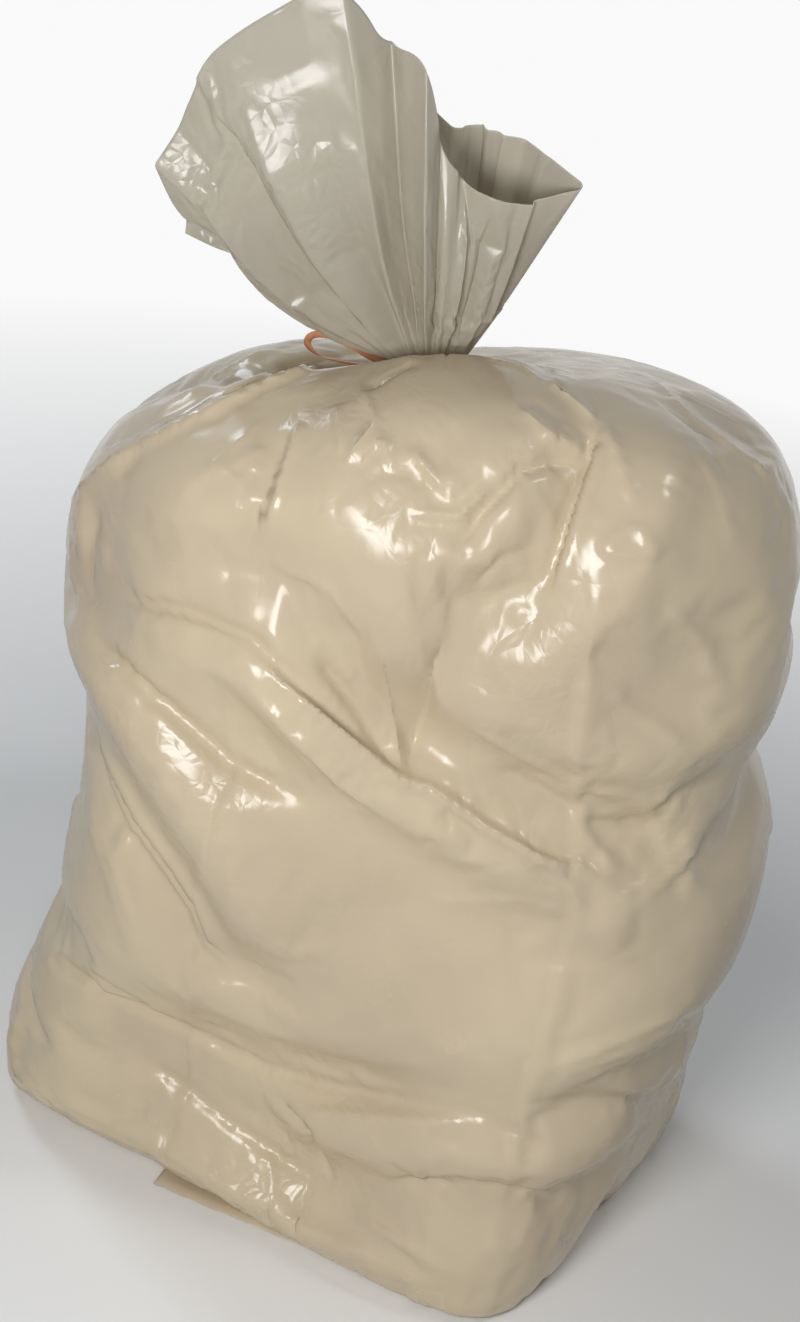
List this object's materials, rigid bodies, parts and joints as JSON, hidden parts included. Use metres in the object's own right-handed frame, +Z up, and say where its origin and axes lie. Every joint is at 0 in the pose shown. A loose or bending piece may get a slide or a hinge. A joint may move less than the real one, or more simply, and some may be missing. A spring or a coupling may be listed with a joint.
{
  "type": "filled bin bag",
  "caption": "Filled bin bag of glossy cream film, standing on its base, gathered and tied at the neck with a ribbon, its open tail fanned out above the tie.",
  "frame": {"origin": "on the floor under the middle of the body, on the flat face that the bag stands on", "axes": "+Z up, from the base to the tail; -Y is the front that the picture shows; +X is the picture's right"},
  "size_m": [0.5111, 0.4396, 0.8347],
  "materials": {
    "film": "thin glossy cream film, slightly see-through, creased and crinkled",
    "ribbon": "flat see-through orange ribbon"
  },
  "bodies": {
    "root": {"bag": "film", "tie": "ribbon"}
  },
  "joints": []
}
